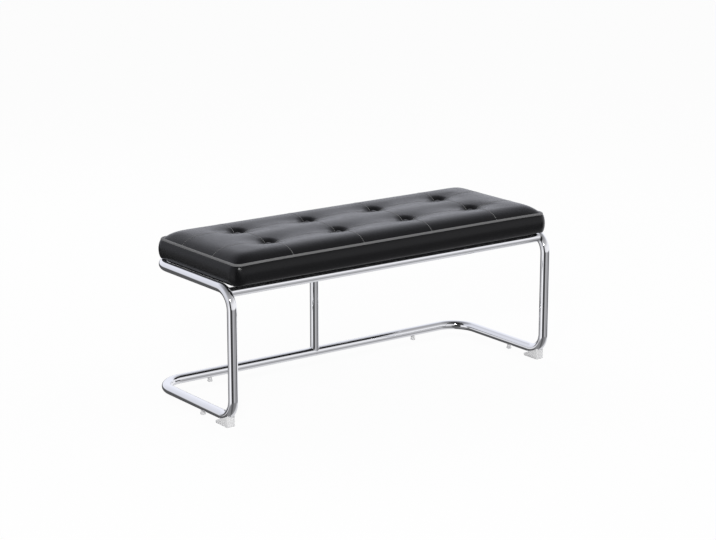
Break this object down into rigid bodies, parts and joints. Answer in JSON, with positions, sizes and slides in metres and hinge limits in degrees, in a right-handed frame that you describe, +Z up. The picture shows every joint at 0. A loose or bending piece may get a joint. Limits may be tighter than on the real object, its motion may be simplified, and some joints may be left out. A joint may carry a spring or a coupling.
{
  "type": "upholstered bench",
  "caption": "Backless bench with a button-tufted leatherette cushion on a cantilever frame of bent chromed tube.",
  "frame": {"origin": "on the floor, under the middle of the bench", "axes": "+X along the bench to the right, +Y from the front legs to the back rails, +Z up"},
  "size_m": [1.025, 0.3993, 0.4384],
  "materials": {
    "chrome_tube": "mirror-bright chromed steel tube",
    "plated_steel": "zinc-plated steel",
    "clear_plastic": "clear to milky moulded plastic",
    "black_leatherette": "glossy fine-grained black leatherette",
    "cushion_foam": "cut polyurethane foam",
    "waxed_twine": "waxed upholstery twine",
    "plywood": "sanded plywood",
    "dust_cloth": "black non-woven cloth"
  },
  "bodies": {
    "root": {"left_frame_tube": "chrome_tube", "right_frame_tube": "chrome_tube", "front_seat_rail": "chrome_tube", "rear_strut": "chrome_tube", "seat_rail_sleeve": "plated_steel", "floor_rail_sleeve": "plated_steel", "front_foot_left": "clear_plastic", "side_glide_left": "clear_plastic", "rear_glide_left": "clear_plastic", "front_foot_right": "clear_plastic", "side_glide_right": "clear_plastic", "rear_glide_right": "clear_plastic", "seat_board": "plywood", "foam_pad": "cushion_foam", "cover_top_panel": "black_leatherette", "cover_boxing": "black_leatherette", "dust_cover": "dust_cloth", "tuft_button_1": "black_leatherette", "tuft_button_2": "black_leatherette", "tuft_button_3": "black_leatherette", "tuft_button_4": "black_leatherette", "tuft_button_5": "black_leatherette", "tuft_button_6": "black_leatherette", "tuft_button_7": "black_leatherette", "tuft_button_8": "black_leatherette", "tuft_twine_1": "waxed_twine", "tuft_twine_2": "waxed_twine", "tuft_twine_3": "waxed_twine", "tuft_twine_4": "waxed_twine", "tuft_twine_5": "waxed_twine", "tuft_twine_6": "waxed_twine", "tuft_twine_7": "waxed_twine", "tuft_twine_8": "waxed_twine", "seat_bracket_front_left": "plated_steel", "seat_bracket_front_right": "plated_steel", "seat_bracket_rear_left": "plated_steel", "seat_bracket_rear_right": "plated_steel", "seat_screw_1": "plated_steel", "seat_washer_1": "plated_steel", "t_nut_1": "plated_steel", "seat_screw_2": "plated_steel", "seat_washer_2": "plated_steel", "t_nut_2": "plated_steel", "seat_screw_3": "plated_steel", "seat_washer_3": "plated_steel", "t_nut_3": "plated_steel", "seat_screw_4": "plated_steel", "seat_washer_4": "plated_steel", "t_nut_4": "plated_steel"}
  },
  "joints": []
}
